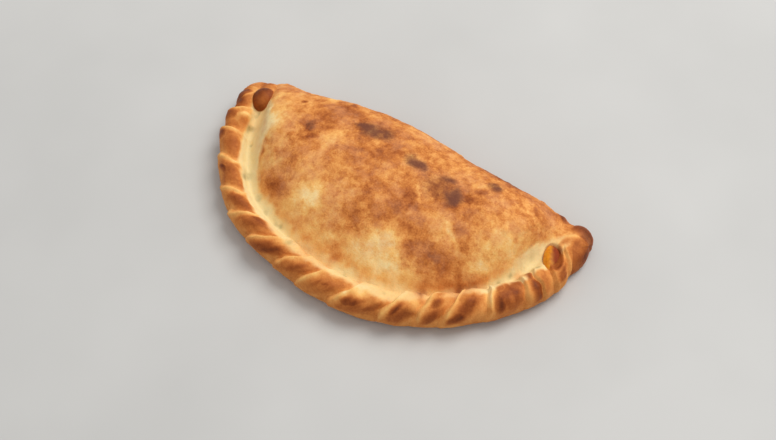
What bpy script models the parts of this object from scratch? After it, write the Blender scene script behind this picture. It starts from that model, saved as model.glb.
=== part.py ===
"""A baked calzone: a round of dough folded over a filling and crimped shut.

Metres, +Z up.  The fold lies along the back (+Y), the crimped rim curves round the
front (-Y) from one corner to the other, and the part rests on its flat underside at
Z = 0.  The origin is the middle of the footprint.
"""
import bpy
import numpy as np

# Plan: the middle line of the rim, left corner to right corner, and the line of the fold
RIM_LINE = (
    (-0.1340, 0.0495),
    (-0.1300, 0.0255),
    (-0.1140, -0.0085),
    (-0.0870, -0.0385),
    (-0.0470, -0.0555),
    (0.0000, -0.0645),
    (0.0420, -0.0595),
    (0.0810, -0.0405),
    (0.1130, -0.0115),
    (0.1300, 0.0185),
    (0.1335, 0.0450),
)
FOLD_LINE = (
    (-0.1330, 0.0550),
    (-0.1195, 0.0600),
    (-0.0955, 0.0562),
    (-0.0530, 0.0605),
    (-0.0130, 0.0625),
    (0.0370, 0.0555),
    (0.0820, 0.0495),
    (0.1330, 0.0495),
)

# Heights and widths of the cross-section.  The lists run evenly from the left corner to the
# right one: rim and groove widths are shares of RIM_RADIUS, and a dome reach is the width
# of the section, from rim to fold, at which the dome has its full height.
DOME_HEIGHT = 0.043
DOME_UNEVENNESS = 0.045
CORNER_HEIGHT = 0.020
RIM_HEIGHT = 0.0185
RIM_RADIUS = 0.0100
RIM_WIDTHS = (0.86, 0.90, 0.92, 0.98, 1.05, 1.06, 1.02, 0.98)
GROOVE_WIDTHS = (1.00, 1.00, 1.00, 1.00, 0.80, 0.92, 0.82, 0.68, 0.72, 1.00, 1.00)
FOLD_RADIUS = 0.0135
GROOVE_HEIGHT = 0.0130
CORNER_REACH = 0.055
DOME_REACHES = (0.150, 0.100, 0.092)
CAP_DEPTH = 0.010
UNDERSIDE_TRIM = 0.0006

# Pleats: where each crease crosses the outside of the rim, in rim lengths from the left
# corner, how far its inner end leans forward to the right, and how far the pleat stands out
RIM_LENGTH = 0.390
SWEEP_FROM = 0.15
SWEEP_TO = 0.75
PLEATS = (
    (0.000, 0.000, 0.0030),
    (0.038, 0.002, 0.0034),
    (0.084, 0.007, 0.0034),
    (0.138, 0.016, 0.0036),
    (0.207, 0.017, 0.0036),
    (0.264, 0.020, 0.0036),
    (0.326, 0.028, 0.0046),
    (0.396, 0.022, 0.0036),
    (0.449, 0.022, 0.0038),
    (0.516, 0.022, 0.0040),
    (0.603, 0.018, 0.0042),
    (0.660, 0.018, 0.0036),
    (0.705, 0.020, 0.0042),
    (0.782, 0.009, 0.0048),
    (0.853, 0.004, 0.0034),
    (0.888, 0.000, 0.0030),
    (0.914, 0.004, 0.0034),
    (0.958, 0.002, 0.0034),
    (1.000, 0.000, 0.0000),
)

# Mesh: stations from corner to corner, and steps round each stretch of the cross-section
STATIONS = 140
CAP_STATIONS = 4
UNDER_STEPS = 4
RIM_STEPS = 14
DOME_STEPS = 8
FOLD_STEPS = 5

# Balls of dough at the ends of the rim: middle, radius, and how far they stand out
CORNER_BALLS = (
    (-0.1270, 0.0500, 0.020, 0.0075, 0.0035),
    (-0.1395, 0.0450, 0.016, 0.0080, 0.0032),
    (0.1315, 0.0440, 0.013, 0.0190, 0.0030),
)

# Filling that has oozed up through a split between the rim and the dome: the split's
# middle, half its width and length, its depth, and the turn of its long side from +Y
SPLIT_MIDDLE = (0.1260, 0.0255)
SPLIT_REACH = (0.0065, 0.0130)
SPLIT_DEPTH = 0.0040
SPLIT_TURN = 26.0
OOZE_LEVEL = 0.0152
OOZE_RADII = (0.0045, 0.0105, 0.0036)
OOZE_GAP = 0.0003
OOZE_SEGMENTS = 20
OOZE_RINGS = 12

CRUST_COLOUR = (0.62, 0.31, 0.10, 1.0)
OOZE_COLOUR = (0.70, 0.30, 0.03, 1.0)

# Control points of the full cross-section, from the middle of the underside round the rim,
# over the dome and back under the fold.  "rim" points lie a number of rim radii outwards
# from the rim line, "fold" points a number of fold radii outwards from the fold line, and
# "dome" points a share of the way from the inside of the rim to the fold.  The third
# number is the height, as a share of the height named last.
SECTION = (
    ("dome", 0.45, 0.00, "rim"),
    ("rim", -0.10, 0.00, "rim"),
    ("rim", 0.95, 0.00, "rim"),
    ("rim", 1.28, 0.50, "rim"),
    ("rim", 0.95, 1.05, "rim"),
    ("rim", 0.15, 1.20, "rim"),
    ("rim", -0.60, 1.00, "rim"),
    ("rim", -0.98, 0.84, "groove"),
    ("rim", -1.55, 1.04, "groove"),
    ("dome", 0.15, 0.70, "dome"),
    ("dome", 0.40, 0.99, "dome"),
    ("dome", 0.68, 1.03, "dome"),
    ("dome", 0.95, 0.96, "dome"),
    ("fold", 0.90, 0.72, "dome"),
    ("fold", 1.35, 0.30, "dome"),
    ("fold", 0.70, 0.00, "dome"),
    ("dome", 0.85, 0.00, "dome"),
)
# Directions of the same control points on the plain round section at the corners
CORNER_ANGLES = (-90, -62, -35, 0, 30, 55, 75, 90, 100, 112, 125, 138, 150, 170, 195, 225, 250)


def clear_scene():
    """Empty the scene, so that the script gives the same result each run."""
    for obj in list(bpy.data.objects):
        bpy.data.objects.remove(obj, do_unlink=True)


def smooth_step(value):
    """Ease from 0 to 1, level at both ends."""
    share = np.clip(value, 0.0, 1.0)
    return share * share * (3.0 - 2.0 * share)


def curve_through(points, count):
    """Smooth curve through the points, sampled at even steps along its length.

    Each span is a Hermite cubic whose end slopes are half the chord between the
    neighbours on either side.
    """
    knots = np.array(points)
    slopes = np.gradient(knots, axis=0)
    t = np.linspace(0.0, len(knots) - 1.0, 1200)
    span = np.minimum(t.astype(int), len(knots) - 2)
    f = (t - span)[:, None]
    fine = (
        knots[span] * (1.0 - f) ** 2 * (1.0 + 2.0 * f)
        + knots[span + 1] * f ** 2 * (3.0 - 2.0 * f)
        + slopes[span] * f * (1.0 - f) ** 2
        - slopes[span + 1] * f ** 2 * (1.0 - f)
    )
    steps = np.linalg.norm(np.diff(fine, axis=0), axis=1)
    run = np.concatenate(([0.0], np.cumsum(steps)))
    even = np.linspace(0.0, run[-1], count)
    return np.stack([np.interp(even, run, fine[:, axis]) for axis in (0, 1)], axis=1)


def outward(line, side):
    """Unit normals of a plan curve, on its right (side 1) or its left (side -1)."""
    along = np.gradient(line, axis=0)
    along /= np.linalg.norm(along, axis=1)[:, None]
    return side * np.stack([along[:, 1], -along[:, 0]], axis=1)


def section_steps():
    """Places round the section, counted in control points from the middle underneath."""
    return np.concatenate((
        np.linspace(0.0, 2.0, UNDER_STEPS // 2, endpoint=False),
        np.linspace(2.0, 8.0, RIM_STEPS, endpoint=False),
        np.linspace(8.0, 12.5, DOME_STEPS, endpoint=False),
        np.linspace(12.5, 15.5, FOLD_STEPS, endpoint=False),
        np.linspace(15.5, 17.0, UNDER_STEPS // 2, endpoint=False),
    ))


def spline_weights(steps, count):
    """Weight of each control point at each step of a closed cubic B-spline."""
    first = np.floor(steps).astype(int)
    f = steps - first
    parts = (
        (1.0 - f) ** 3 / 6.0,
        (3.0 * f ** 3 - 6.0 * f ** 2 + 4.0) / 6.0,
        (-3.0 * f ** 3 + 3.0 * f ** 2 + 3.0 * f + 1.0) / 6.0,
        f ** 3 / 6.0,
    )
    weights = np.zeros((len(steps), count))
    rows = np.arange(len(steps))
    for offset, part in enumerate(parts):
        weights[rows, (first + offset - 1) % count] += part
    return weights


def control_points(rim, fold):
    """Control points of every section: an array of station, control point, XYZ.

    Near the corners, where the rim and the fold draw together, the full section eases
    into a plain round one.
    """
    rim_out = outward(rim, 1.0)
    fold_out = outward(fold, -1.0)
    across = rim - fold
    width = np.linalg.norm(across, axis=1)
    across /= width[:, None]
    share = np.linspace(0.0, 1.0, len(rim))
    radius = RIM_RADIUS * np.interp(share, np.linspace(0.0, 1.0, len(RIM_WIDTHS)), RIM_WIDTHS)
    rim_reach = rim_out * radius[:, None]
    groove = np.interp(share, np.linspace(0.0, 1.0, len(GROOVE_WIDTHS)), GROOVE_WIDTHS)[:, None]
    reach = np.interp(share, np.linspace(0.0, 1.0, len(DOME_REACHES)), DOME_REACHES)
    swell = np.sin(0.5 * np.pi * np.clip(width / reach, 0.0, 1.0))
    swell *= 1.0 + DOME_UNEVENNESS * np.sin(np.pi * (5.0 * share + 0.2))
    heights = {
        "rim": np.full(len(rim), RIM_HEIGHT),
        "groove": np.full(len(rim), GROOVE_HEIGHT),
        "dome": CORNER_HEIGHT + (DOME_HEIGHT - CORNER_HEIGHT) * swell,
    }
    inside = rim - rim_reach * 1.7 * groove
    full = np.zeros((len(rim), len(SECTION), 3))
    for index, (kind, place, share, height) in enumerate(SECTION):
        if kind == "rim":
            plan = rim + rim_reach * place * (groove if height == "groove" else 1.0)
        elif kind == "fold":
            plan = fold + fold_out * FOLD_RADIUS * place
        else:
            plan = inside + (fold - inside) * place
        full[:, index, :2] = plan
        full[:, index, 2] = heights[height] * share
    angles = np.radians(CORNER_ANGLES)
    middle = 0.5 * (rim + fold)
    half_width = 0.56 * (width + radius + FOLD_RADIUS)
    corner = np.zeros_like(full)
    corner[:, :, :2] = (
        middle[:, None, :]
        + across[:, None, :] * (half_width[:, None] * np.cos(angles))[:, :, None]
    )
    corner[:, :, 2] = 0.5 * CORNER_HEIGHT * (1.0 + 1.15 * np.sin(angles))
    blend = smooth_step(width / CORNER_REACH)[:, None, None]
    return corner + (full - corner) * blend


def corner_cap(loop, away):
    """Rings that round off the end of the loft beyond its first loop."""
    middle = loop.mean(axis=0)
    rings = []
    for index in range(1, CAP_STATIONS + 1):
        turn = 0.5 * np.pi * index / (CAP_STATIONS + 1)
        ring = middle + (loop - middle) * np.cos(turn)
        ring = ring + np.array([away[0], away[1], 0.0]) * CAP_DEPTH * np.sin(turn)
        rings.append(ring)
    pole = middle + np.array([away[0], away[1], 0.0]) * CAP_DEPTH
    return rings, pole


def normals_of(grid):
    """Unit normals of a grid of points, pointing out of the crust."""
    along = np.gradient(grid, axis=0)
    round_it = np.roll(grid, -1, axis=1) - np.roll(grid, 1, axis=1)
    normal = np.cross(along, round_it)
    return normal / np.maximum(np.linalg.norm(normal, axis=2), 1e-9)[:, :, None]


def pleat_height(share, steps):
    """Height of the pleats at each station's share of the rim and each step round it.

    Each crease crosses the rim at its own place and sweeps forward towards the groove,
    so a pleat has a round head outside and a tail that runs out along the groove.
    """
    round_rim = np.clip((steps - 2.0) / 6.0, 0.0, 1.0)
    sweep = smooth_step((round_rim[None, :] - SWEEP_FROM) / (SWEEP_TO - SWEEP_FROM)) / RIM_LENGTH
    starts = [place + lean * sweep for place, lean, height in PLEATS]
    rise = np.zeros((len(share), len(steps)))
    for (place, lean, height), start, end in zip(PLEATS, starts, starts[1:]):
        across = np.clip((share[:, None] - start) / (end - start), 0.0, 1.0)
        rise = np.maximum(rise, height * np.sqrt(np.sin(np.pi * across)))
    on_rim = smooth_step(round_rim / 0.35) * smooth_step((1.0 - round_rim) / 0.25)
    return rise * on_rim[None, :]


def ball_height(grid):
    """Height of the dough balls pressed up at the two corners."""
    rise = np.zeros(grid.shape[:2])
    for x, y, z, radius, height in CORNER_BALLS:
        gap = np.linalg.norm(grid - np.array([x, y, z]), axis=2)
        rise = np.maximum(rise, height * np.sqrt(np.clip(1.0 - (gap / radius) ** 2, 0.0, 1.0)))
    return rise


def split_depth(grid):
    """Depth of the bowl-shaped split at each point of the upper side."""
    turn = np.radians(SPLIT_TURN)
    east = grid[:, :, 0] - SPLIT_MIDDLE[0]
    north = grid[:, :, 1] - SPLIT_MIDDLE[1]
    across = (east * np.cos(turn) + north * np.sin(turn)) / SPLIT_REACH[0]
    along = (north * np.cos(turn) - east * np.sin(turn)) / SPLIT_REACH[1]
    bowl = SPLIT_DEPTH * np.sqrt(np.clip(1.0 - across ** 2 - along ** 2, 0.0, 1.0))
    return np.where(grid[:, :, 2] > GROOVE_HEIGHT, bowl, 0.0)


def crust_surface():
    """The crust as rings of points from corner to corner, and its two end points."""
    rim = curve_through(RIM_LINE, STATIONS)
    fold = curve_through(FOLD_LINE, STATIONS)
    steps = section_steps()
    weights = spline_weights(steps, len(SECTION))
    body = np.einsum("vk,ukc->uvc", weights, control_points(rim, fold))
    left_rings, left_pole = corner_cap(body[0], (-1.0, 0.0))
    right_rings, right_pole = corner_cap(body[-1], (1.0, 0.0))
    grid = np.concatenate((left_rings[::-1], body, right_rings))
    inner = np.linspace(0.0, 1.0, STATIONS)
    share = np.concatenate((np.zeros(CAP_STATIONS), inner, np.ones(CAP_STATIONS)))
    rise = np.maximum(pleat_height(share, steps), ball_height(grid))
    grid = grid + normals_of(grid) * (rise - split_depth(grid))[:, :, None]
    grid[:, :, 2] = np.maximum(grid[:, :, 2] - UNDERSIDE_TRIM, 0.0)
    flat = grid[:, :, :2].reshape(-1, 2)
    shift = np.append(-0.5 * (flat.min(axis=0) + flat.max(axis=0)), 0.0)
    return grid + shift, left_pole + shift, right_pole + shift


def add_object(name, points, faces, colour, roughness):
    """One closed smooth-shaded object with its own material."""
    mesh = bpy.data.meshes.new(name)
    mesh.from_pydata(points.tolist(), [], faces)
    mesh.validate()
    mesh.shade_smooth()
    obj = bpy.data.objects.new(name, mesh)
    bpy.context.scene.collection.objects.link(obj)
    material = bpy.data.materials.new(name)
    material.use_nodes = True
    shader = material.node_tree.nodes["Principled BSDF"]
    shader.inputs["Base Color"].default_value = colour
    shader.inputs["Roughness"].default_value = roughness
    shader.inputs["Metallic"].default_value = 0.0
    mesh.materials.append(material)
    return obj


def loft_faces(rings, steps):
    """Faces between neighbouring rings, closed by a fan at each end point."""
    first_end = rings * steps
    last_end = first_end + 1
    last_ring = (rings - 1) * steps
    faces = []
    for step in range(steps):
        following = (step + 1) % steps
        faces.append((first_end, step, following))
        faces.append((last_end, last_ring + following, last_ring + step))
    for ring in range(rings - 1):
        near = ring * steps
        far = near + steps
        for step in range(steps):
            following = (step + 1) % steps
            faces.append((near + step, far + step, far + following, near + following))
    return faces


def make_ooze(name, swell):
    """A flattened drop lying in the split, all round larger by the swell."""
    bottom_to_top = np.linspace(-0.5 * np.pi, 0.5 * np.pi, OOZE_RINGS + 1)[1:-1, None]
    turn = np.linspace(2.0 * np.pi, 0.0, OOZE_SEGMENTS, endpoint=False)[None, :]
    ball = np.stack((
        np.cos(bottom_to_top) * np.cos(turn),
        np.cos(bottom_to_top) * np.sin(turn),
        np.sin(bottom_to_top) * np.ones_like(turn),
    ), axis=2)
    points = np.concatenate((ball.reshape(-1, 3), [(0.0, 0.0, -1.0), (0.0, 0.0, 1.0)]))
    faces = loft_faces(OOZE_RINGS - 1, OOZE_SEGMENTS)
    drop = add_object(name, points * (np.array(OOZE_RADII) + swell), faces, OOZE_COLOUR, 0.2)
    drop.location = (*SPLIT_MIDDLE, OOZE_LEVEL)
    drop.rotation_euler = (0.0, 0.0, np.radians(SPLIT_TURN))
    return drop


def make_crust():
    """The whole folded and crimped dough with its filling, as one solid."""
    grid, left_pole, right_pole = crust_surface()
    rings, steps = grid.shape[:2]
    points = np.concatenate((grid.reshape(-1, 3), [left_pole, right_pole]))
    return add_object("crust", points, loft_faces(rings, steps), CRUST_COLOUR, 0.75)


def cut_pocket(crust, cutter):
    """Cut the drop's pocket out of the crust."""
    cutter.hide_render = True
    cutter.display_type = "WIRE"
    pocket = crust.modifiers.new("pocket", "BOOLEAN")
    pocket.operation = "DIFFERENCE"
    pocket.solver = "EXACT"
    pocket.object = cutter


def main():
    """Build the part."""
    clear_scene()
    crust = make_crust()
    make_ooze("filling_ooze", 0.0)
    cut_pocket(crust, make_ooze("ooze_pocket", OOZE_GAP))


main()
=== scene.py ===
"""Looks of the baked calzone: a folded dough crust with a crimped rim, and a drop of filling
that has oozed out through a split beside the right corner."""

import math

import bpy
import numpy as np
from mathutils import Matrix, Vector


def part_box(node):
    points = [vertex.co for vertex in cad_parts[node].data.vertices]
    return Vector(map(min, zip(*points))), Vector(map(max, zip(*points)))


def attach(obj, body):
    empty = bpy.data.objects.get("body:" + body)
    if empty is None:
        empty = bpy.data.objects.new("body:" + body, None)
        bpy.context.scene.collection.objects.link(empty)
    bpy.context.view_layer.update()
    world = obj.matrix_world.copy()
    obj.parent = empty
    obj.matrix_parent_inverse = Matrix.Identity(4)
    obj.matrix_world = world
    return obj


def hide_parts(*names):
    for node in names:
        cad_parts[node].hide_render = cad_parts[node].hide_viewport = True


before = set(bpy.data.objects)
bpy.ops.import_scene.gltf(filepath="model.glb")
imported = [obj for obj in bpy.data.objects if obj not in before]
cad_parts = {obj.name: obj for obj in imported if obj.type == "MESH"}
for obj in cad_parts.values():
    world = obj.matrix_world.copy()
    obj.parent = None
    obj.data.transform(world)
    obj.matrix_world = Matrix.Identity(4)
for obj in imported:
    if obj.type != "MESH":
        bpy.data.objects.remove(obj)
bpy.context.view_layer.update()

# Tables give lengths in millimetres and shares in hundredths; the units in front of a table
# turn them into metres and shares
MM = 0.001
PART = 0.01
RIM_UNITS = (PART, PART, MM, MM, PART)
OVAL_UNITS = (MM, MM, MM, MM, 1, PART)
BALL_UNITS = 6 * (MM,) + (1, PART)
CROWN_UNITS = (1,) + 7 * (PART,)

# ---------------- shape of the folded dough

# Plan of the rim's middle line and of the fold, left corner to right corner
RIM_LINE = MM * np.array((
    (-134, 49.5), (-130, 25.5), (-114, -8.5), (-87, -38.5), (-47, -55.5), (0, -64.5), (42, -59.5),
    (81, -40.5), (113, -11.5), (130, 18.5), (133.5, 45),
))
FOLD_LINE = MM * np.array((
    (-133, 55), (-119.5, 60), (-95.5, 56.2), (-53, 60.5), (-13, 62.5), (37, 55.2), (82, 50.7),
    (133, 49.5),
))
# Length of the rim and of the way round it, and heights, radii and reaches of the dough
RIM_LENGTH = 0.39
ROUND_LENGTH = 0.045
RIM_HEIGHT = 0.0185
RIM_RADIUS = 0.010
GROOVE_HEIGHT = 0.013
GROOVE_REACH = 1.7
FOLD_RADIUS = 0.0135
DOME_HEIGHT = 0.043
DOME_UNEVENNESS = 0.045
DOME_WAVES = 5.0
CORNER_HEIGHT = 0.020
CORNER_REACH = 0.055
CORNER_SPREAD = 0.56
CORNER_LIFT = 1.15
CAP_DEPTH = 0.010
UNDERSIDE_TRIM = 0.0006

# At even places from the left corner to the right: width of the rim and of the groove, as
# shares of the radius and reach above, and how wide the dough has to be for the full dome
RIM_WIDTHS = (0.86, 0.90, 0.92, 0.98, 1.05, 1.06, 1.02, 0.98)
GROOVE_WIDTHS = (1, 1, 1, 1, 0.80, 0.92, 0.82, 0.68, 0.72, 1, 1)
DOME_REACHES = (0.150, 0.100, 0.092)

# Pleats: where each starts outside the rim, in rim lengths, how far its inner end leans to
# the right and how far it stands out
PLEATS = (PART, MM, MM) * np.array((
    (0, 0, 3), (3.8, 2, 3.4), (8.4, 7, 3.2), (13.8, 16, 1.8), (20.7, 17, 1), (26.4, 20, 2.8),
    (32.6, 28, 4.6), (39.6, 22, 3.6), (44.9, 22, 3.8), (51.6, 22, 4.2), (60.3, 18, 4.2),
    (66, 18, 3.6), (70.5, 20, 4.2), (78.2, 9, 3.4), (85.3, 4, 2.2), (88.8, 0, 1.9), (91.4, 4, 2.2),
    (96.3, 2, 1.8), (100, 0, 0),
))
PLEAT_STARTS, PLEAT_LEANS, PLEAT_HEIGHTS = PLEATS.T
# The lean grows between two places round the rim, and is gone at a step over the dome
LEAN_FROM = 0.15
LEAN_FULL = 0.75
LEAN_GONE = 12.0

# Balls of dough at the corners: middle, half length, half width, half height, turn of the
# length from +X in degrees, how brown
CORNER_BALLS = BALL_UNITS * np.array((
    (-135.5, 45, 9, 9.5, 9.5, 15.2, 0, 76),
    (-121.5, 53.5, 10, 16, 13.6, 14.3, 122, 54),
    (-122.6, 48.9, 14.2, 10.4, 11, 13.9, 122, 88),
    (132.8, 42, 8, 12.2, 18.5, 14.1, 0, 70),
    (133.1, 53, 8, 11.2, 10.8, 13.7, 0, 74),
))
# Where the dough of the corners is eased smooth again: middle and reach
EASED_PLACES = MM * np.array((
    (-135.3, 46, 24, 4), (134.8, 41.5, 21.5, 4),
))
EASING_ROUNDS = 24

# The split beside the right corner, and the drop of filling in it
SPLIT_MIDDLE = (0.1267, 0.0256)
SPLIT_REACH = (0.0071, 0.0128)
SPLIT_DEPTH = 0.0034
SPLIT_TURN = math.radians(26.0)
LIP_HEIGHT = 0.0005
OOZE_LEVEL = 0.0156
OOZE_RADII = (0.0058, 0.0114, 0.0040)

# Control points of the cross-section from the middle underneath round the rim, over the dome
# and back under the fold: what the place is measured from, the place, the share of a height,
# and which height
SECTION = (
    ("dome", 0.45, 0, "rim"), ("rim", -0.10, 0, "rim"), ("rim", 0.95, 0, "rim"),
    ("rim", 1.28, 0.50, "rim"), ("rim", 0.95, 1.05, "rim"), ("rim", 0.15, 1.20, "rim"),
    ("rim", -0.60, 1.00, "rim"), ("rim", -0.98, 0.84, "groove"), ("rim", -1.55, 1.04, "groove"),
    ("dome", 0.15, 0.70, "dome"), ("dome", 0.40, 0.99, "dome"), ("dome", 0.68, 1.03, "dome"),
    ("dome", 0.95, 0.96, "dome"), ("fold", 0.90, 0.72, "dome"), ("fold", 1.35, 0.30, "dome"),
    ("fold", 0.70, 0, "dome"), ("dome", 0.85, 0, "dome"),
)
# The same control points on the plain round section of a corner, as angles in degrees
CORNER_ANGLES = (-90, -62, -35, 0, 30, 55, 75, 90, 100, 112, 125, 138, 150, 170, 195, 225, 250)

# Control point where each stretch of the section begins, and the steps along the stretch or,
# underneath, along each half of it
RIM_BEGINS = 2.0
DOME_BEGINS = 8.0
FOLD_BEGINS = 12.5
UNDER_BEGINS = 15.5
UNDER_STEPS = 8
RIM_STEPS = 66
DOME_STEPS = 72
FOLD_STEPS = 20
# Stations along the rim, on each rounded end, and on the finely divided plan
STATIONS = 540
FEWEST_STATIONS = 12
CAP_STATIONS = 8
FINE_STATIONS = 2400
CURVE_STEPS = 6000

# Layers of noise: strength, size of the cells, seed
EAST_WARP = ((0.0022, 0.012, 3), (0.0010, 0.005, 5))
NORTH_WARP = ((0.0022, 0.012, 4), (0.0010, 0.005, 6))
PLEAT_WANDER = ((0.0024, 0.010, 26), (0.0009, 0.005, 27))
RIM_WAVES = ((0.0005, 0.010, 24), (0.0003, 0.005, 25))
DOME_SWELLS = ((0.0008, 0.034, 21), (0.0006, 0.015, 22))
OOZE_LUMPS = ((0.10, 0.9, 61), (0.035, 0.35, 62))
TABLE_SIZE = 4096


def smooth_step(value):
    """Ease from 0 to 1, level at both ends: 3x^2 - 2x^3 of the value held to 0 and 1."""
    share = np.clip(value, 0.0, 1.0)
    return share * share * (3.0 - 2.0 * share)


def between(value, low, high):
    """Smooth step that is 0 at low and 1 at high."""
    return smooth_step((value - low) / (high - low))


def bell(value, width):
    """A bump of height 1 that falls off as exp(-(value / width)^2)."""
    return np.exp(-(value / width) ** 2)


def blend(first, second, share):
    """The first value at share 0, the second at share 1."""
    return first + (second - first) * share


def spread(values, share):
    """Values at even places from the left corner to the right, read at a share of the way."""
    return np.interp(share, np.linspace(0.0, 1.0, len(values)), values)


def unit(vectors):
    """The same directions at length 1."""
    return vectors / np.maximum(np.linalg.norm(vectors, axis=-1, keepdims=True), 1e-9)


def turned(east, north, angle):
    """A gap in plan, measured along and across a line turned by the angle from +X."""
    sine = math.sin(angle)
    cosine = math.cos(angle)
    return east * cosine + north * sine, north * cosine - east * sine


def table_rows(cell):
    """A scrambled row of the random table for each cell of a cubic lattice."""
    key = (cell[..., 0] * 73856093) ^ (cell[..., 1] * 19349663) ^ (cell[..., 2] * 83492791)
    return (key ^ (key >> 13)) & (TABLE_SIZE - 1)


def lattice_noise(points, size, seed):
    """Even noise from -1 to 1: a random number at each corner of a cubic lattice, eased
    between the eight corners round each point."""
    table = np.random.default_rng(seed).uniform(-1.0, 1.0, TABLE_SIZE)
    place = points / size + 37.3
    cell = np.floor(place).astype(np.int64)
    ease = smooth_step(place - cell)
    total = np.zeros(points.shape[:-1])
    for corner in np.ndindex(2, 2, 2):
        weight = np.prod(np.where(corner, ease, 1.0 - ease), axis=-1)
        total += table[table_rows(cell + np.array(corner))] * weight
    return total


def layered_noise(points, layers):
    """Lattice noises added up, each given by its strength, cell size and seed."""
    return sum(strength * lattice_noise(points, size, seed) for strength, size, seed in layers)


def rough_noise(points, size, seed, octaves):
    """Lattice noise added up over octaves, each half as large and 0.55 times as strong."""
    layers = [(0.55 ** octave, size * 0.5 ** octave, seed + octave) for octave in range(octaves)]
    return layered_noise(points, layers)


def blisters(points, size, seed):
    """Distance in cells to the nearest of a set of scattered points, one in each cell of a
    cubic lattice, and a random number from 0 to 1 that belongs to that point."""
    table = np.random.default_rng(seed).uniform(0.0, 1.0, (TABLE_SIZE, 4))
    place = points / size + 53.7
    cell = np.floor(place).astype(np.int64)
    nearest = np.full(points.shape[:-1], 9.0)
    owner = np.zeros(points.shape[:-1])
    for offset in np.ndindex(3, 3, 3):
        knot = cell + np.array(offset) - 1
        site = table[table_rows(knot)]
        gap = np.linalg.norm(knot + site[..., :3] - place, axis=-1)
        owner = np.where(gap < nearest, site[..., 3], owner)
        nearest = np.minimum(gap, nearest)
    return nearest, owner


def curve_through(knots, count):
    """Smooth curve through the knots at even steps: each span is a Hermite cubic whose end
    slopes are half the chord between the neighbours on either side."""
    slopes = np.gradient(knots, axis=0)
    t = np.linspace(0.0, len(knots) - 1.0, CURVE_STEPS)
    span = np.minimum(t.astype(int), len(knots) - 2)
    f = (t - span)[:, None]
    fine = (
        knots[span] * (1.0 - f) ** 2 * (1.0 + 2.0 * f)
        + knots[span + 1] * f ** 2 * (3.0 - 2.0 * f)
        + slopes[span] * f * (1.0 - f) ** 2
        - slopes[span + 1] * f ** 2 * (1.0 - f)
    )
    steps = np.linalg.norm(np.diff(fine, axis=0), axis=1)
    run = np.concatenate(([0.0], np.cumsum(steps)))
    even = np.linspace(0.0, run[-1], count)
    return np.stack([np.interp(even, run, fine[:, axis]) for axis in (0, 1)], axis=1)


def outward(line, side):
    """Unit normals of a plan curve, on its right (side 1) or its left (side -1)."""
    along = unit(np.gradient(line, axis=0))
    return side * np.stack([along[:, 1], -along[:, 0]], axis=1)


def section_steps():
    """Places round the section, counted in control points from the middle underneath."""
    stretches = (
        (0.0, RIM_BEGINS, UNDER_STEPS),
        (RIM_BEGINS, DOME_BEGINS, RIM_STEPS),
        (DOME_BEGINS, FOLD_BEGINS, DOME_STEPS),
        (FOLD_BEGINS, UNDER_BEGINS, FOLD_STEPS),
        (UNDER_BEGINS, len(SECTION), UNDER_STEPS),
    )
    return np.concatenate([np.linspace(*stretch, endpoint=False) for stretch in stretches])


def round_the_rim(steps):
    """Place round the rim: 0 at its foot, 1 in the groove, and on past 1 over the dome."""
    return (steps - RIM_BEGINS) / (DOME_BEGINS - RIM_BEGINS)


def spline_weights(steps, count):
    """Weight of each control point at each step of a closed cubic B-spline."""
    first = np.floor(steps).astype(int)
    f = steps - first
    parts = (
        (1.0 - f) ** 3 / 6.0,
        (3.0 * f ** 3 - 6.0 * f ** 2 + 4.0) / 6.0,
        (-3.0 * f ** 3 + 3.0 * f ** 2 + 3.0 * f + 1.0) / 6.0,
        f ** 3 / 6.0,
    )
    weights = np.zeros((len(steps), count))
    rows = np.arange(len(steps))
    for offset, part in enumerate(parts):
        weights[rows, (first + offset - 1) % count] += part
    return weights


def control_points(rim, fold):
    """Control points of every section. A full section hangs between the rim line and the
    fold line; near the corners it turns into a plain round one as the two lines meet."""
    rim_out = outward(rim, 1.0)
    fold_out = outward(fold, -1.0)
    width = np.linalg.norm(rim - fold, axis=1)
    share = np.linspace(0.0, 1.0, len(rim))
    radius = RIM_RADIUS * spread(RIM_WIDTHS, share)
    rim_reach = rim_out * radius[:, None]
    groove = spread(GROOVE_WIDTHS, share)[:, None]
    swell = np.sin(0.5 * np.pi * np.clip(width / spread(DOME_REACHES, share), 0.0, 1.0))
    swell *= 1.0 + DOME_UNEVENNESS * np.sin(np.pi * (DOME_WAVES * share + 0.2))
    heights = {
        "rim": np.full(len(rim), RIM_HEIGHT),
        "groove": np.full(len(rim), GROOVE_HEIGHT),
        "dome": CORNER_HEIGHT + (DOME_HEIGHT - CORNER_HEIGHT) * swell,
    }
    inside = rim - rim_reach * GROOVE_REACH * groove
    full = np.zeros((len(rim), len(SECTION), 3))
    for index, (kind, place, part, height) in enumerate(SECTION):
        if kind == "rim":
            plan = rim + rim_reach * place * (groove if height == "groove" else 1.0)
        elif kind == "fold":
            plan = fold + fold_out * FOLD_RADIUS * place
        else:
            plan = inside + (fold - inside) * place
        full[:, index, :2] = plan
        full[:, index, 2] = heights[height] * part
    angles = np.radians(CORNER_ANGLES)
    half_width = CORNER_SPREAD * (width + radius + FOLD_RADIUS)
    spokes = unit(rim - fold)[:, None, :] * (half_width[:, None] * np.cos(angles))[:, :, None]
    corner = np.zeros_like(full)
    corner[:, :, :2] = 0.5 * (rim + fold)[:, None, :] + spokes
    corner[:, :, 2] = 0.5 * CORNER_HEIGHT * (1.0 + CORNER_LIFT * np.sin(angles))
    return blend(corner, full, smooth_step(width / CORNER_REACH)[:, None, None])


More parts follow.
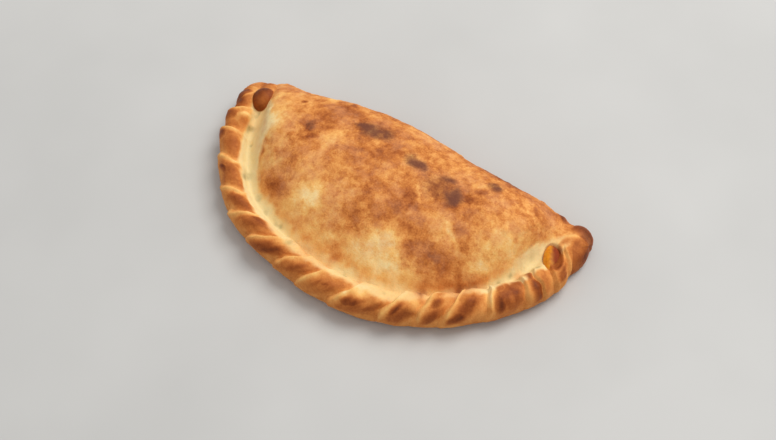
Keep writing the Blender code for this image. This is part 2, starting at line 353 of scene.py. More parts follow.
def station_places():
    """Places of the stations along the rim, in rim lengths. Each pleat has its share of
    them, and they crowd towards its two creases as t - 0.10 sin(2 pi t)."""
    widths = np.diff(PLEAT_STARTS)
    counts = np.maximum(np.round(STATIONS * widths).astype(int), FEWEST_STATIONS)
    places = []
    for start, width, count in zip(PLEAT_STARTS, widths, counts):
        t = (np.arange(count) + 0.5) / count
        places.append(start + width * (t - 0.10 * np.sin(2.0 * np.pi * t)))
    return np.concatenate(places)


def dough_body():
    """The plain dough: a closed B-spline section carried from corner to corner. The stations
    lean forward with the creases on the rim, and straighten again over the dome. Gives the
    points, where each station is along the rim before it leans and where each point is after
    it, and the steps round the section."""
    steps = section_steps()
    rim = curve_through(RIM_LINE, FINE_STATIONS)
    fold = curve_through(FOLD_LINE, FINE_STATIONS)
    weights = spline_weights(steps, len(SECTION))
    fine = np.einsum("vk,ukc->uvc", weights, control_points(rim, fold))
    along = station_places()
    lean = np.interp(along, PLEAT_STARTS, PLEAT_LEANS / RIM_LENGTH)[:, None]
    lean = lean * between(np.clip(round_the_rim(steps), 0.0, 1.0), LEAN_FROM, LEAN_FULL)
    lean = lean * (1.0 - between(steps, DOME_BEGINS, LEAN_GONE))
    place = (along[:, None] + lean) * (FINE_STATIONS - 1)
    near = np.clip(place.astype(int), 0, FINE_STATIONS - 2)
    column = np.arange(len(steps))
    body = blend(fine[near, column], fine[near + 1, column], (place - near)[:, :, None])
    return body, along, place / (FINE_STATIONS - 1), steps


def corner_cap(loop, away):
    """Rings that round off the end beyond a loop: each shrinks towards the loop's middle as
    the cosine of its turn and moves out as the sine. Gives the rings and the end point."""
    middle = loop.mean(axis=0)
    out = np.array([away, 0.0, 0.0]) * CAP_DEPTH
    turn = 0.5 * np.pi * np.arange(1, CAP_STATIONS + 1)[:, None, None] / (CAP_STATIONS + 1)
    return middle + (loop - middle) * np.cos(turn) + out * np.sin(turn), middle + out


def normals_of(grid):
    """Unit normals of a grid of points, pointing out of the crust."""
    along = np.gradient(grid, axis=0)
    round_it = np.roll(grid, -1, axis=1) - np.roll(grid, 1, axis=1)
    return unit(np.cross(along, round_it))


# ---------------- relief and bake of the crust

# Brown crowns of the pleats, and thin lines of painted shade where some knuckles meet the
# groove: which pleat, place across it and round the rim, half reach across and round, how much
# further round its right end lies, how much it narrows to the right, and how brown it is baked
CROWNS_AND_SHADE_LINES = CROWN_UNITS * np.array((
    (0, 55, 45, 45, 20, 0, 0, 74), (1, 55, 58, 34, 12, 0, 0, 52), (1, 15, 58, 14, 8, 0, 0, 66),
    (1, 30, 38, 34, 16, 4, 0, 80), (1, 85, 42, 18, 16, 0, 0, 66), (2, 52, 49, 40, 13, 2, 0, 70),
    # The narrow crowns of pleat 2 at 0.59 round, of pleat 3 at 0.57 and 0.58 and of pleat 5 at 0.51
    # are painted shade where the knuckles meet the groove
    (2, 17, 59, 16, 6, 0, 0, 66), (2, 30, 31, 24, 12, 6, 0, 84), (3, 46, 46, 40, 14, 2, 0, 76),
    (3, 80, 58, 20, 6, 2, 0, 68), (3, 20, 57, 16, 6, -2, 0, 66), (3, 49, 39, 22, 8, 0, 0, 96),
    (4, 60, 47, 34, 13, 3, 0, 82), (4, 24, 34, 22, 9, 0, 0, 58), (5, 48, 45, 42, 13, 4, 0, 74),
    (5, 42, 51, 30, 6, 2, 0, 80), (6, 56, 37.5, 38, 11, 5, 20, 88), (7, 62, 39, 34, 10, 4, 10, 74),
    (7, 30, 32, 24, 9, 2, 0, 72), (8, 62, 38, 34, 11, 4, 10, 74), (8, 60, 40, 22, 5, 2, 0, 84),
    (9, 50, 29, 38, 8, 4, 0, 70), (9, 38, 34, 20, 7, 2, 0, 84), (9, 28, 34.5, 13, 6, 0, 0, 82),
    (9, 74, 32, 24, 4.5, 4, 0, 78), (9, 83, 37.5, 14, 5, 2, 0, 72),
    (10, 40, 36.5, 18, 7, 0, 0, 90), (10, 60, 32, 32, 11, 2, 0, 80), (11, 34, 56, 20, 6, 0, 0, 60),
    (11, 50, 45, 22, 5.5, 0, 0, 80), (11, 60, 32, 32, 10, 3, 0, 80),
    (12, 52, 39, 34, 10, 6, 10, 84), (12, 34, 30, 19, 7, 2, 0, 96), (13, 60, 41, 38, 17, 0, 0, 84),
    (13, 42, 52, 20, 6, 0, 0, 68), (13, 86, 54, 20, 10, 0, 0, 78), (13, 32, 36, 13, 10, 0, 0, 94),
    (14, 74, 38, 36, 19, 0, 0, 90), (14, 70, 56, 30, 10, 0, 0, 76), (15, 45, 42, 40, 15, 0, 0, 64),
    (16, 52, 46, 42, 15, 0, 0, 84), (16, 45, 34, 36, 5, 0, 0, 86), (17, 55, 45, 40, 16, 0, 0, 62),
))
CROWN_HEIGHT = 0.0007
# Lobes pinched up beside the main pleats: place along the rim and round it, half length and
# half width, height
LOBES = (PART, PART, MM, MM, MM) * np.array((
    (6.7, 62, 3, 4, 1.6), (8, 60, 4, 3.4, 1.2), (56.5, 42, 5, 3, 1), (60.8, 43, 6, 2.6, 1.4),
    (66, 42, 5, 3, 1.2), (70.8, 50, 4.2, 2.6, 1.6), (76.5, 45, 5, 3, 1.2),
))
# Blotches in the groove and on the rim: place along it and round it, half length and half
# width, and how much browner, or paler below 0
RIM_SPOTS = RIM_UNITS * np.array((
    (42.7, 76, 4.5, 5, 22), (55.3, 80, 2.5, 8, 22), (60, 80, 12, 8, 6), (68.2, 76, 2.8, 9, 28),
    (72.8, 74, 4.2, 5.5, 34), (74.8, 92, 2.6, 5, 26), (77.6, 88, 11, 12, 44),
    (62, 100, 30, 5, -12), (47, 100, 30, 5, -8), (77.5, 100, 10, 3, -20), (39.3, 50, 4, 4, -18),
    (67.6, 82, 6, 12, 24), (45, 78, 20, 14, 10), (53.5, 80, 12, 14, 10), (56.6, 80, 4, 14, 14),
    (8.2, 80, 3, 8, 14), (75.5, 72, 8, 9, 10), (67.6, 62, 5, 4, 14), (48.4, 86, 4, 12, 20),
    (94, 50, 7, 5, 16), (87.2, 78, 5, 9, 38), (11.2, 90, 3, 5, 12), (6.7, 61, 2, 4.5, -34),
    (8, 60, 2.2, 2.4, 6), (10.5, 61, 2.2, 2.6, 24), (21, 36, 4.5, 3.2, 12),
    (57.2, 48, 6, 3.6, -32), (54.6, 42, 2.4, 2, -18), (66.8, 44, 4.4, 3.4, -22),
    (79.5, 48, 3, 5, -15), (88.6, 50, 3, 3, -15), (95.2, 38, 3, 3, -12),
))
# Dark herb flecks in the groove: the same, and how dark
HERBS = RIM_UNITS * np.array((
    (5.3, 95, 2.4, 2.2, 80), (6, 88, 1.6, 3, 55), (8.4, 82, 1.8, 5, 85), (9, 74, 2, 2.8, 60),
    (12, 92, 1.4, 2.2, 40), (20, 80, 4, 5.2, 45), (20.8, 70, 2.6, 2.6, 50), (26.4, 92, 3.4, 3, 40),
    (30.4, 90, 2.6, 2.6, 45), (34.1, 90, 2.4, 2, 22), (35.2, 94, 1.8, 1.8, 50),
    (40.4, 58, 1.8, 2.2, 45), (52.7, 68, 2.6, 2.2, 55), (52, 84, 2.2, 3.4, 40),
    (61.2, 56, 2, 1.4, 30), (82.8, 90, 1.6, 2.6, 60), (84.6, 74, 2.6, 2, 55),
    (85.6, 96, 1.8, 1.8, 40), (90.5, 66, 2.2, 1.8, 55), (90.8, 100, 2.4, 2, 30),
))
# The pale groove inside the rim, at even places from the left corner to the right: where it
# begins and where it ends round the rim, and how pale it is
GROOVE_OUTER = PART * np.array((
    70, 70, 68, 63, 65, 64, 63, 59, 54, 56, 56, 57, 48, 50, 55, 55, 55, 57, 55, 60, 70,
))
# Near the left corner the pale groove reaches up to 1.36 round: partly pale dough, partly painted
# light on the shaded foot of the dome
GROOVE_INNER = PART * np.array((
    100, 126, 136, 118, 103, 97, 97, 98, 98, 98, 97, 97, 98, 97, 95, 97, 98, 102, 112, 110, 100,
))
GROOVE_CREAM = PART * np.array((
    0, 70, 95, 100, 100, 100, 100, 95, 60, 46, 84, 76, 56, 50, 38, 24, 90, 94, 96, 60, 0,
))
# Patches of the dome: middle, half length, half width, turn of the length from +X in degrees,
# and how much browner, or paler below 0
PATCHES = OVAL_UNITS * np.array((
    (24, -40, 36, 18, 12, -22), (-12, -48, 22, 9, -8, -12), (15, -22, 16, 8, 0, -14),
    (-43, -16, 10, 8, 20, -26), (-38, -25, 14, 8, 0, -16), (-52, 24, 13, 6, 78, -14),
    (-46, 34, 8, 4, 30, -10), (-108, 44, 16, 11, 60, -18), (-96, 24, 16, 9, 70, -12),
    # The paler patches at (-107, 22) and (-107, 18) are partly paler dough and partly painted light,
    # offsetting the shade on the dome's steep left slope
    (-107, 22, 18, 10, 75, -32), (36, 11, 32, 6, 4, 12), (8, 5, 7, 7, 0, 12),
    (61, 19, 10, 9, 0, 14), (72, -8, 12, 12, 0, 16), (10, -18, 9, 8, 0, 14),
    (60, -30, 14, 8, 0, 14), (112, 55, 6, 6, 0, 16), (-36, 64, 10, 6, 0, -12),
    (-69, 68, 6, 8, 0, -34), (-120, 64, 6, 6, 0, -14), (-107, 18, 18, 7, 72, -28),
    (-64, 24, 4, 10, 0, 12), (22, 32, 5, 5, 0, 18), (61, 29, 8, 6, 0, 16), (63, 40, 6, 4, 0, -16),
    (96, 42, 7, 7, 0, -16), (105, 48, 4, 6, 0, 14), (72, 64, 16, 4, -5, 24), (80, 57, 6, 6, 0, 18),
    (62, -46, 9, 7, 0, 28), (-2, -49, 4, 7, 0, 30), (93, -22, 6, 5, -40, 4),
    (114, -1, 5, 10, 10, 30), (34, -19, 16, 7, 0, 7), (-53, -36, 9, 10, 0, -24),
    (-46, -26, 18, 12, 0, -7), (-56, -2, 6, 8, 0, -8), (-80, 18, 6, 6, 0, -10),
    (-70, -22, 8, 4, -30, 10), (-2, 66, 12, 6, 0, -12), (18, 64, 10, 6, 0, -10),
    (-24, 54, 8, 5, 0, 14), (-4, -46, 8, 10, 0, 16), (66, -36, 10, 8, 0, 16),
    (-85, -14, 6, 5, 0, 14), (-92, -8, 10, 5, -30, -10), (-104, -15, 10, 3, -62, 10),
    (-95, -26, 10, 3, -50, 14), (-76, -40, 12, 3, -30, 16), (0, -36, 50, 6, 0, -8),
    (88, -15, 14, 6, 50, -40), (-52, -33, 14, 6, -20, -14), (-24, -41, 14, 6, -8, -18),
    (28, -42, 20, 6, 0, -24), (57, -36, 10, 6, 20, -14), (-88, -6, 14, 6, -50, -14),
    (-104.5, 33, 5, 6, 0, 18), (49, 15, 6, 5, 0, 14), (-34, 71, 10, 5, 0, 16),
    (52, 62, 26, 5, -4, 14), (-75, 32, 5, 4, 0, 16), (-104, 36, 6, 6, 0, 14),
    (96, 12, 22, 12, 70, -14), (82, -8, 14, 9, 40, -10), (60, -2, 9, 1.4, -40, -18),
    (66, -6, 8, 1.2, -36, -16), (29, 15, 9, 1.5, -54, -14), (-76, 44, 10, 8, 20, -5),
    (112, 44, 10, 8, 0, -10), (-12, 20, 8, 8, 0, -7), (-78, -16, 14, 7.5, -20, 20),
    (-70, -20, 11, 6, -10, 12), (-68, -2, 6, 7, 0, 16), (-68.5, 31, 8, 3.6, 80, 36),
    (-66, 20, 4, 3, 60, 22), (-61, 42, 9, 12, 60, 16), (-48, 57, 18, 7, 4, 20),
    (-40, 42, 8, 8, 0, 18), (-36, 18, 14, 8, 0, 12), (-55, 15, 4, 4, 0, 17),
    (-105, 47, 5, 5, 0, 12), (-24, 30, 18, 12, 0, 14), (13, -8, 9, 11, 0, 22),
    (28, -3, 10, 10, 0, 10), (42, 25, 16, 10, 0, 20), (36, -24, 9, 6, 0, 16),
    (52, -25, 6, 6, 0, 20), (64, -43, 6, 6, 0, 22), (-5, -42, 6, 8, 0, 14),
    (22, 6, 10, 9, -20, 16), (-4, 2, 6, 11, 10, 8), (-7, -18, 8, 9, -30, 14),
    (-16, 10, 12, 12, 0, 8), (36, -8, 14, 8, 0, 14), (56, -18, 13, 6, -12, 28),
    (75, -25, 11, 5, 12, 12), (40, -22, 8, 4, 0, 14), (64, 36, 4, 4, 0, 20), (65, 3, 5, 4, 0, 20),
    (92, -14, 6, 4, 30, 14), (-99, 5, 8, 2.4, -24, 28), (-97, 11, 4, 2.4, -10, 24),
    (-88.5, 50, 2.6, 2.2, 0, 28), (-80, 18, 2.8, 2.2, 0, 26), (-76, 6, 3.4, 3.4, 0, 16),
    (-13, -44, 4, 3, 0, 14), (-4, -50, 3, 2.5, 0, 12), (0, -25, 5, 4, 0, 14),
))
# Charred blisters on the dome: the same, and how charred
CHAR_SPOTS = OVAL_UNITS * np.array((
    (-28, 47.5, 12, 6.2, 22, 105), (-39, 45.5, 5, 3.6, 20, 46), (-16.5, 49.5, 5, 5, 20, 52),
    (8, 37.8, 5.8, 4.8, 0, 80), (17.2, 35, 6.2, 4.8, -8, 100), (40, 35.5, 5.5, 3.8, 8, 60),
    (38, 25.5, 15, 9, -10, 56), (51.2, 22.6, 6.2, 8, 0, 105), (71, 45.5, 6.8, 5, 10, 100),
    (-70, 29, 7, 4.4, 80, 26), (56, -18, 8, 4, -12, 22),
))
# Bumps and dents of the dome and of the fold: middle, reach, height
BUMPS = MM * np.array((
    (-29, 47, 11, 0.8), (14, 36, 9, 0.6), (49, 22, 9, 0.9), (71, 46, 6, 0.6),
    (-54.5, 66.5, 4.5, 1.4), (118.5, 60, 5, 3), (62, -4, 6, -0.9), (29, 15, 5, -0.5),
    (-68, 26, 6, -0.6), (-76, -18, 10, 0.6),
))
# Marks on the corners: middle, radius, and how much browner, or paler below 0
CORNER_MARKS = (MM, MM, MM, MM, PART) * np.array((
    (131, 58, 20.5, 6, 12), (137, 57.5, 19, 6, 12), (141.5, 53, 16, 6.5, 18), (144, 45, 14, 7, 24),
    (144, 38, 12, 7, 12), (129.1, 47.2, 22.6, 2.6, -14), (133.5, 49, 22.2, 2.6, -10),
    (125.5, 46.2, 21.7, 5.5, -6), (119, 60, 18, 3.4, 24), (-54.5, 66.5, 36, 3.4, 34),
    (-131, 62, 19, 8, 20), (-138.6, 38.6, 19.6, 4, 20), (-141, 49, 16, 7, 40),
    # The marks at (-126.6, 50.6) and (-120.6, 45.2) are painted shade on the upper left of the left
    # corner's middle ball and painted light on its lower right
    (-126.6, 50.6, 24.5, 5, 12), (-120.6, 45.2, 22.5, 5, -18), (138, 46.5, 19, 5, 22),
))

# How brown the plain dough is from the foot of the rim to under the fold: step round the
# section, and bake from 0 for raw cream to 1 for dark brown
PLAIN_BAKE = (
    (2.0, 0.58), (2.6, 0.54), (3.6, 0.53), (4.4, 0.53), (5.0, 0.52), (5.7, 0.50), (6.0, 0.40),
    (7.6, 0.34), (8.1, 0.48), (9.2, 0.50), (12.5, 0.56), (14.0, 0.62), (15.2, 0.58),
)
# The same for the ridge of a crease, by its place round the rim
RIDGE_BAKE = ((0.20, 0.42), (0.45, 0.26), (0.60, 0.18))
GROOVE_BAKE = 0.12
LIP_BAKE = 0.34
# Bake inside the split, and how much more towards its right inner wall: partly scorch, partly painted
# shade on that wall
POCKET_BAKE = 0.58
POCKET_SCORCH_AND_SHADE = 0.26
WIDEST_CREASE = 0.0028
# The grain and streaks of the dough's skin, its small bubbles and the share of cells that
# have none, and the furrows of the dome
GRAIN_HEIGHT = 0.00014
GRAIN_SIZE = 0.0032
BUBBLE_SPACING = 0.0085
BUBBLE_REACH = 0.30
BUBBLE_HEIGHT = 0.0005
BARE_SHARE = 0.72
STREAK_HEIGHT = 0.00028
FURROW_DEPTH = 0.0004


def ovals(first, second, spots):
    """Adds up soft-edged ovals: each is its amount times exp(-gap^1.5), where gap is the
    squared distance from its middle in half lengths along it and half widths across."""
    total = np.zeros(np.broadcast(first, second).shape)
    for a, b, length, width, turn, amount in spots:
        along, across = turned(first - a, second - b, math.radians(turn))
        total += amount * np.exp(-((along / length) ** 2 + (across / width) ** 2) ** 1.5)
    return total


def rim_ovals(share, round_rim, spots):
    """Ovals on the rim, laid out along it and round it, with their sizes in metres."""
    laid_out = [(a, b, length / RIM_LENGTH, width / ROUND_LENGTH, 0, amount)
                for a, b, length, width, amount in spots]
    return ovals(share, round_rim, laid_out)


def pleat_places(along):
    """Which pleat each station lies on, how far across it from 0 to 1, and how far from its
    crease in metres."""
    last = len(PLEATS) - 2
    index = np.clip(np.searchsorted(PLEAT_STARTS, along, side="right") - 1, 0, last)
    width = np.diff(PLEAT_STARTS)[index]
    a = np.clip((along - PLEAT_STARTS[index]) / width, 0.0, 1.0)
    return index, a, a * width * RIM_LENGTH


def pleat_crowns(index, a, round_rim, ripple):
    """Strength and bake of the brown crowns and painted shade lines at each point of the rim.

    A crown's strength is exp(-gap^3), where gap is the distance from its middle in half
    reaches; it narrows to its right as 1 - taper x, and ripples wobble its edge. The
    strongest crown at a point sets the bake there."""
    strength = np.zeros(ripple.shape)
    brown = np.zeros(ripple.shape)
    for pleat, a_mid, r_mid, a_half, r_half, tilt, taper, bake in CROWNS_AND_SHADE_LINES:
        rows = index == pleat
        x = (a[rows, None] - a_mid) / a_half
        middle = r_mid + tilt * x
        half = r_half * (1.0 - taper * np.clip(x, -1.0, 1.0))
        y = (np.broadcast_to(round_rim, ripple.shape)[rows] - middle) / half
        gap = np.sqrt(x ** 2 + y ** 2) + 0.16 * ripple[rows]
        force = np.exp(-np.maximum(gap, 0.0) ** 3)
        brown[rows] = np.where(force > strength[rows], bake, brown[rows])
        strength[rows] = np.maximum(strength[rows], force)
    return strength, brown


def pleat_relief(index, a, from_crease, round_rim):
    """Height of the pleats. Across a pleat, with a from 0 at its own crease to 1 at the next,
    its back is sin(pi (0.2 + 0.8 a^0.85)): it starts with a step up out of the pleat before,
    crowns a third of the way over and sinks to the next crease. The step is rounded off over
    its first 3 mm, and a thin lip, a bell in the distance from the crease, stands on it."""
    back = np.sin(np.pi * (0.2 + 0.8 * a ** 0.85)) * between(from_crease, -0.0010, 0.0030)
    on_rim = between(round_rim, 0.0, 0.35) * (1.0 - between(round_rim, 0.56, 0.86))
    lip = 0.0010 * bell(from_crease - 0.0024, 0.0017)
    return (PLEAT_HEIGHTS[index] * back + lip)[:, None] * on_rim


def wander_pleats(grid, along, round_rim):
    """Each point of the pleated rim slides along the rim by two sizes of noise, so that the
    pleats and their creases wander. The slide fades out at the corners, under and inside."""
    slide = layered_noise(grid, PLEAT_WANDER)
    slide = slide * between(np.minimum(along, 1.0 - along), 0.03, 0.12)[:, None]
    slide = slide * between(round_rim, 0.05, 0.30) * (1.0 - between(round_rim, 0.70, 0.95))
    return grid + unit(np.gradient(grid, axis=0)) * slide[:, :, None]


def press_balls(grid):
    """Dough balls at the two corners. A point inside a ball's ellipsoid moves straight out
    from its middle to its skin, so that its gap is divided by its reach in half sizes; this
    fades out just above the floor. Gives the points, how far each belongs to a ball, and the
    bake of that ball."""
    strength = np.zeros(grid.shape[:2])
    brown = np.zeros(grid.shape[:2])
    for x, y, z, length, width, height, turn, bake in CORNER_BALLS:
        gap = grid - np.array([x, y, z])
        along, across = turned(gap[..., 0], gap[..., 1], math.radians(turn))
        up = gap[..., 2] / height
        reach = np.sqrt((along / length) ** 2 + (across / width) ** 2 + up ** 2)
        push = (1.0 / np.clip(reach, 0.12, 1.0) - 1.0) * between(grid[..., 2], 0.001, 0.005)
        grid = grid + gap * push[..., None]
        force = 1.0 - between(reach, 0.86, 1.04)
        brown = np.where(force > 0.5 * strength, bake, brown)
        strength = np.maximum(strength, force)
    return grid, strength, brown


def ease_folds(grid):
    """Evens out the dough round the eased places: again and again each point moves towards
    the average of its four neighbours, by a share that falls off from the place."""
    share = np.zeros(grid.shape[:2])
    for *place, reach in EASED_PLACES:
        gap = np.linalg.norm(grid - np.array(place), axis=2)
        share = np.maximum(share, bell(gap, reach))
    share[0] = 0.0
    share[-1] = 0.0
    for _ in range(EASING_ROUNDS):
        beside = np.roll(grid, 1, axis=1) + np.roll(grid, -1, axis=1)
        before = np.roll(grid, 1, axis=0) + np.roll(grid, -1, axis=0)
        grid = grid + ((beside + before) * 0.25 - grid) * share[:, :, None]
    return grid


def split_place(points):
    """Place in the split, in half widths across it and half lengths along it."""
    east = points[..., 0] - SPLIT_MIDDLE[0]
    north = points[..., 1] - SPLIT_MIDDLE[1]
    across, along = turned(east, north, SPLIT_TURN)
    return across / SPLIT_REACH[0], along / SPLIT_REACH[1]


def dome_relief(grid):
    """Height of the dome's swellings, wrinkles, bumps and dents: two sizes of noise, thin
    furrows where a third one crosses zero, and a bell for each named bump."""
    height = layered_noise(grid, DOME_SWELLS)
    height -= FURROW_DEPTH * (1.0 - np.abs(lattice_noise(grid, 0.011, 23))) ** 6
    for x, y, reach, rise in BUMPS:
        height += rise * bell(np.hypot(grid[:, :, 0] - x, grid[:, :, 1] - y), reach)
    return height


class Dough:
    """The dough's points, ring by ring from corner to corner, where each of them lies, and
    the noises and crowns that relief and bake share."""

    def __init__(self):
        body, along, share, self.steps = dough_body()
        left_rings, self.left_pole = corner_cap(body[0], -1.0)
        right_rings, self.right_pole = corner_cap(body[-1], 1.0)
        beyond = np.ones((CAP_STATIONS, len(self.steps)))
        along = np.concatenate((0.0 * beyond[:, 0], along, beyond[:, 0]))
        self.share = np.concatenate((0.0 * beyond, share, beyond))
        self.round_all = round_the_rim(self.steps)[None, :]
        self.round_rim = np.clip(self.round_all, 0.0, 1.0)
        grid = np.concatenate((left_rings[::-1], body, right_rings))
        grid = wander_pleats(grid, along, self.round_rim)
        self.grid = grid
        self.normal = normals_of(grid)

        # How far each point belongs to the dome and lies above the underside
        self.dome = between(self.steps, 7.6, 9.2) * (1.0 - between(self.steps, 13.0, 15.2))
        self.above = between(self.steps, 1.6, 2.3) - between(self.steps, 15.2, 16.0)

        # Place along the rim and on the pleats, and the noises and crowns
        self.along = along
        self.index, self.a, self.from_crease = pleat_places(along)
        self.east = grid[:, :, 0] + layered_noise(grid, EAST_WARP)
        self.north = grid[:, :, 1] + layered_noise(grid, NORTH_WARP)
        self.ripple = rough_noise(grid, 0.006, 11, 3)
        laid = np.broadcast_arrays(along[:, None] * RIM_LENGTH, 0.016 * self.round_all, 0.0)
        self.streak = rough_noise(np.stack(laid, axis=2), 0.0034, 71, 3)
        self.crown, self.crown_bake = pleat_crowns(self.index, self.a, self.round_rim, self.ripple)

    def press_pleats(self):
        """Raise the pleats, their crowns and lobes, then the corner balls, and ease them."""
        height = pleat_relief(self.index, self.a, self.from_crease, self.round_rim)
        height = height + CROWN_HEIGHT * self.crown
        height = height + rim_ovals(self.share, self.round_rim, LOBES)
        grid = self.grid + self.normal * height[:, :, None]
        grid, self.ball, self.ball_bake = press_balls(grid)
        self.grid = ease_folds(grid)

    def raise_skin(self):
        """Raise the dome's swellings, the rim's waves, and the grain and small bubbles of the
        skin. Sink the split as a bowl with a sharp brim and a thin lip curled up on its right."""
        grid = self.grid
        ends = between(np.minimum(self.along, 1.0 - self.along), 0.0, 0.06)[:, None]
        wave = layered_noise(grid, RIM_WAVES)
        wave = wave + STREAK_HEIGHT * self.streak * between(self.round_all, 0.30, 0.50)
        grain = GRAIN_HEIGHT * rough_noise(grid, GRAIN_SIZE, 31, 2)
        gap, chance = blisters(grid, BUBBLE_SPACING, 41)
        bubble = np.sqrt(np.clip(1.0 - (gap / BUBBLE_REACH) ** 2, 0.0, 1.0))
        bubble = BUBBLE_HEIGHT * bubble * (chance > BARE_SHARE) * (0.35 + 0.65 * self.dome)
        rise = dome_relief(grid) * self.dome * ends + wave * (1.0 - self.dome)
        rise = self.above * (rise + grain + bubble)

        self.across, along = split_place(grid)
        self.reach = np.hypot(self.across, along)
        self.on_top = between(grid[:, :, 2], 0.0040, 0.0070)
        bowl = np.sqrt(np.clip(1.0 - self.reach ** 2, 0.0, 1.0))
        self.lip = bell(self.reach - 1.12, 0.14) * between(self.across, -0.2, 0.8) * self.on_top
        rise = rise - SPLIT_DEPTH * bowl * self.on_top + LIP_HEIGHT * self.lip

        grid = grid + self.normal * rise[:, :, None]
        grid[:, :, 2] = np.maximum(grid[:, :, 2] - UNDERSIDE_TRIM, 0.0)
        self.grid = grid

    def creases(self):
        """Strength of the pale creases on the outside of the rim: a bell just after each
        pleat's start and a weaker rise before the next, with a wobbly outer edge."""
        widths = 0.13 * np.diff(PLEAT_STARTS)[self.index] * RIM_LENGTH
        wide = np.minimum(widths, WIDEST_CREASE)
        crease = bell(self.from_crease - 0.9 * wide, wide) + 0.4 * between(self.a, 0.88, 1.0)
        crease = crease[:, None] * between(self.round_rim + 0.05 * self.ripple, 0.14, 0.32)
        crease = crease * (1.0 - between(self.round_rim, 0.66, 0.80)) * (0.78 + 0.18 * self.ripple)
        return np.clip(crease, 0.0, 0.92) * (1.0 - 0.5 * between(self.along, 0.83, 0.86))[:, None]

    def groove(self):
        """Strength of the pale groove: 1 between its two wobbling edges, times its paleness."""
        outer = spread(GROOVE_OUTER, self.share)
        inner = spread(GROOVE_INNER, self.share)
        place = self.round_all + 0.03 * self.ripple
        groove = between(place, outer - 0.05, outer + 0.03)
        groove = groove * (1.0 - between(place, inner - 0.04, inner + 0.07))
        return groove * spread(GROOVE_CREAM, self.share)

    def channels(self):
        """What the finish reads at each point, from 0 to about 1. The bake is that of the
        plain dough, changed in turn by clouds, patches, groove, crowns and painted shade lines,
        creases, blotches, balls, corner marks, and the pocket of the split with its lip."""
        dome = self.dome
        ripple = self.ripple
        cloud = 0.07 * lattice_noise(self.grid, 0.022, 51)
        cloud = cloud + 0.07 * rough_noise(self.grid, 0.009, 52, 4)
        bake = np.interp(self.steps, *zip(*PLAIN_BAKE)) + cloud * (0.60 + 0.40 * dome)
        bake = bake + dome * ovals(self.east, self.north, PATCHES)
        groove = self.groove()
        # In the groove the streaks are partly painted light and shade of small lumps of dough, over
        # their low streak relief
        bake = blend(bake, GROOVE_BAKE + 0.05 * self.streak, 0.94 * groove)
        crown_bake = self.crown_bake * (1.0 + 0.12 * self.streak + 0.08 * ripple)
        bake = blend(bake, crown_bake, self.crown)
        bake = blend(bake, np.interp(self.round_rim, *zip(*RIDGE_BAKE)), self.creases())
        spots = rim_ovals(self.share, self.round_rim, RIM_SPOTS) * (1.0 - dome)
        bake = blend(bake + spots, self.ball_bake, self.ball)
        for *place, radius, amount in CORNER_MARKS:
            gap = np.linalg.norm(self.grid - np.array(place), axis=2) / radius
            bake = bake + amount * np.exp(-gap ** 3)
        # Inside the split the dough darkens towards its right inner wall: partly scorch, partly
        # painted shade on that wall
        pocket = between(1.0 - self.reach, 0.0, 0.22) * self.on_top
        pocket_bake = POCKET_BAKE + POCKET_SCORCH_AND_SHADE * between(self.across, -0.6, 0.4)
        bake = blend(bake, pocket_bake, pocket)
        bake = blend(bake, LIP_BAKE, 0.5 * self.lip)

        char = dome * ovals(self.east, self.north, CHAR_SPOTS) * (1.0 + 0.25 * ripple)
        cream = groove * (1.0 - self.crown) * (1.0 - self.ball) * (1.0 - pocket)
        herb = rim_ovals(self.share, self.round_all, HERBS) * (1.0 + 0.5 * ripple)
        return {
            "bake": np.clip(bake, 0.0, 1.2),
            "char": np.clip(char, 0.0, 1.0),
            "cream": cream * (1.0 - np.clip(1.4 * spots, 0.0, 0.8)),
            "herb": np.clip(herb, 0.0, 1.0),
            "dome": dome * (1.0 - self.ball),
        }


def fit_to_box(points, box):
    """Stretch the points evenly along each axis so that they just fill the box."""
    low = points.min(axis=0)
    high = points.max(axis=0)
    floor, ceiling = np.array(box)
    return blend(floor, ceiling, (points - low) / (high - low))


def closed_faces(rings, steps):
    """Faces between neighbouring rings of points, closed by a fan at each end point."""
    near = steps * np.arange(rings - 1)[:, None]
    step = np.arange(steps)
    following = (step + 1) % steps
    corners = (near + step, near + steps + step, near + steps + following, near + following)
    quads = np.stack(corners, axis=2).reshape(-1, 4)
    first = np.full(steps, rings * steps)
    last_ring = (rings - 1) * steps
    left_fan = np.stack((first, step, following), axis=1)
    right_fan = np.stack((first + 1, last_ring + following, last_ring + step), axis=1)
    return quads.tolist() + left_fan.tolist() + right_fan.tolist()


def add_piece(name, points, faces, channels, finish):
    """One closed smooth-shaded piece at the origin, with its finish and the values that the
    finish reads at each point."""
    mesh = bpy.data.meshes.new(name)
    mesh.from_pydata(points.tolist(), [], faces)
    mesh.validate()
    mesh.shade_smooth()
    for channel, values in channels.items():
        layer = mesh.attributes.new(channel, "FLOAT", "POINT")
        layer.data.foreach_set("value", values.astype(np.float32))
    mesh.materials.append(finish)
    piece = bpy.data.objects.new(name, mesh)
    bpy.context.scene.collection.objects.link(piece)
    return piece


def make_crust(finish):
    """The whole crust: the dough with its relief, stretched to the box of the crust part in
    model.glb.
    Each end point takes the values of the first or last point of the rings."""
    dough = Dough()
    dough.press_pleats()
    dough.raise_skin()
    rings, steps = dough.grid.shape[:2]
    points = np.concatenate((dough.grid.reshape(-1, 3), [dough.left_pole, dough.right_pole]))
    points = fit_to_box(points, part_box("crust"))
    values = {}
    for channel, field in dough.channels().items():
        flat = field.reshape(-1)
        values[channel] = np.concatenate((flat, [flat[0], flat[-1]]))
    crust = add_piece("baked_crust", points, closed_faces(rings, steps), values, finish)
    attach(crust, "root")
    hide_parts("crust")


